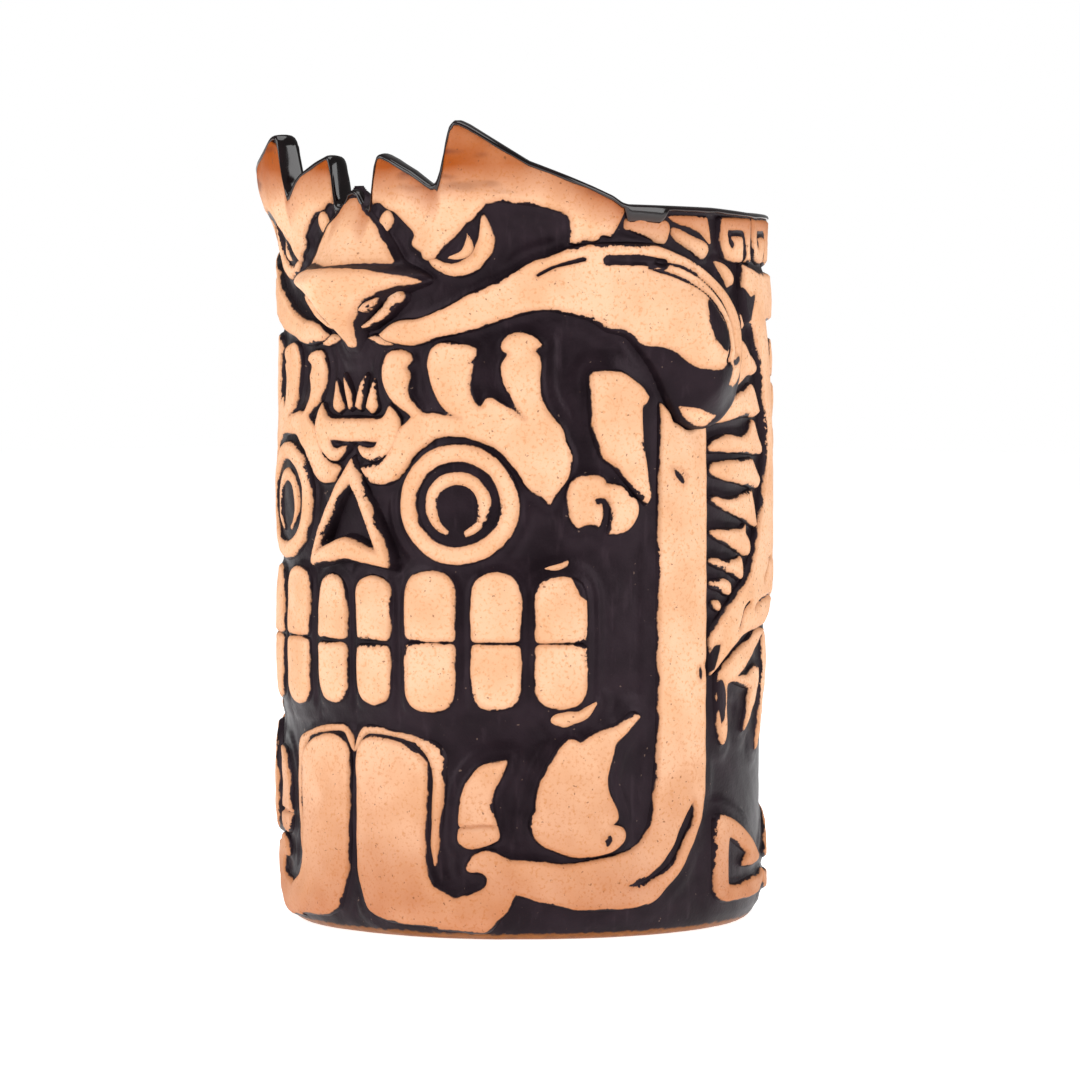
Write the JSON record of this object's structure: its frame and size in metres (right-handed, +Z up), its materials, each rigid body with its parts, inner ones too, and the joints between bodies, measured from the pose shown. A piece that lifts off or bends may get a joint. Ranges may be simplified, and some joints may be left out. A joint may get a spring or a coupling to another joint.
{
  "type": "tiki mug",
  "caption": "Handleless stoneware tiki mug with a crowned rim, a glazed inside, and a sprigged relief of a skull in open jaws over a stained wall.",
  "frame": {"origin": "centre of the flat base, on the mug's turning axis", "axes": "+Z up along the turning axis; the front of the face looks along -Y; +X is the face's left-hand side, which a viewer facing it sees on the right"},
  "size_m": [0.0958, 0.101, 0.1442],
  "materials": {
    "buff_stoneware": "bare buff stoneware, wiped back on the raised relief",
    "stained_stoneware": "dark satin stain left in the recesses",
    "black_glaze": "glossy near-black glaze"
  },
  "bodies": {
    "root": {"big_fang_left": "buff_stoneware", "big_fang_right": "buff_stoneware", "cast_body": "stained_stoneware", "ear_curl_left": "buff_stoneware", "ear_curl_right": "buff_stoneware", "eye_ring_left": "buff_stoneware", "eye_ring_right": "buff_stoneware", "feather_1_left": "buff_stoneware", "feather_1_right": "buff_stoneware", "feather_2_left": "buff_stoneware", "feather_2_right": "buff_stoneware", "feather_3_left": "buff_stoneware", "feather_3_right": "buff_stoneware", "feather_4_left": "buff_stoneware", "feather_4_right": "buff_stoneware", "feather_5_left": "buff_stoneware", "feather_5_right": "buff_stoneware", "feather_band_left": "buff_stoneware", "feather_band_right": "buff_stoneware", "glaze_liner": "black_glaze", "helmet_brow_left": "buff_stoneware", "helmet_brow_right": "buff_stoneware", "helmet_eyelid_left": "buff_stoneware", "helmet_eyelid_right": "buff_stoneware", "iris_ring_left": "buff_stoneware", "iris_ring_right": "buff_stoneware", "jaw_band_left": "buff_stoneware", "jaw_band_right": "buff_stoneware", "lower_tooth_1_left": "buff_stoneware", "lower_tooth_1_right": "buff_stoneware", "lower_tooth_2_left": "buff_stoneware", "lower_tooth_2_right": "buff_stoneware", "lower_tooth_3_left": "buff_stoneware", "lower_tooth_3_right": "buff_stoneware", "lower_tooth_4_left": "buff_stoneware", "lower_tooth_4_right": "buff_stoneware", "nose_bar": "buff_stoneware", "nose_triangle": "buff_stoneware", "rim_block_band": "buff_stoneware", "skull_brow_left": "buff_stoneware", "skull_brow_right": "buff_stoneware", "small_fang_left": "buff_stoneware", "small_fang_right": "buff_stoneware", "snout": "buff_stoneware", "tongue_left": "buff_stoneware", "tongue_right": "buff_stoneware", "triangle_spiral_left": "buff_stoneware", "triangle_spiral_right": "buff_stoneware", "upper_fang_left": "buff_stoneware", "upper_fang_right": "buff_stoneware", "upper_lip_left": "buff_stoneware", "upper_lip_right": "buff_stoneware", "upper_tooth_1_left": "buff_stoneware", "upper_tooth_1_right": "buff_stoneware", "upper_tooth_2_left": "buff_stoneware", "upper_tooth_2_right": "buff_stoneware", "upper_tooth_3_left": "buff_stoneware", "upper_tooth_3_right": "buff_stoneware", "upper_tooth_4_left": "buff_stoneware", "upper_tooth_4_right": "buff_stoneware"}
  },
  "joints": []
}
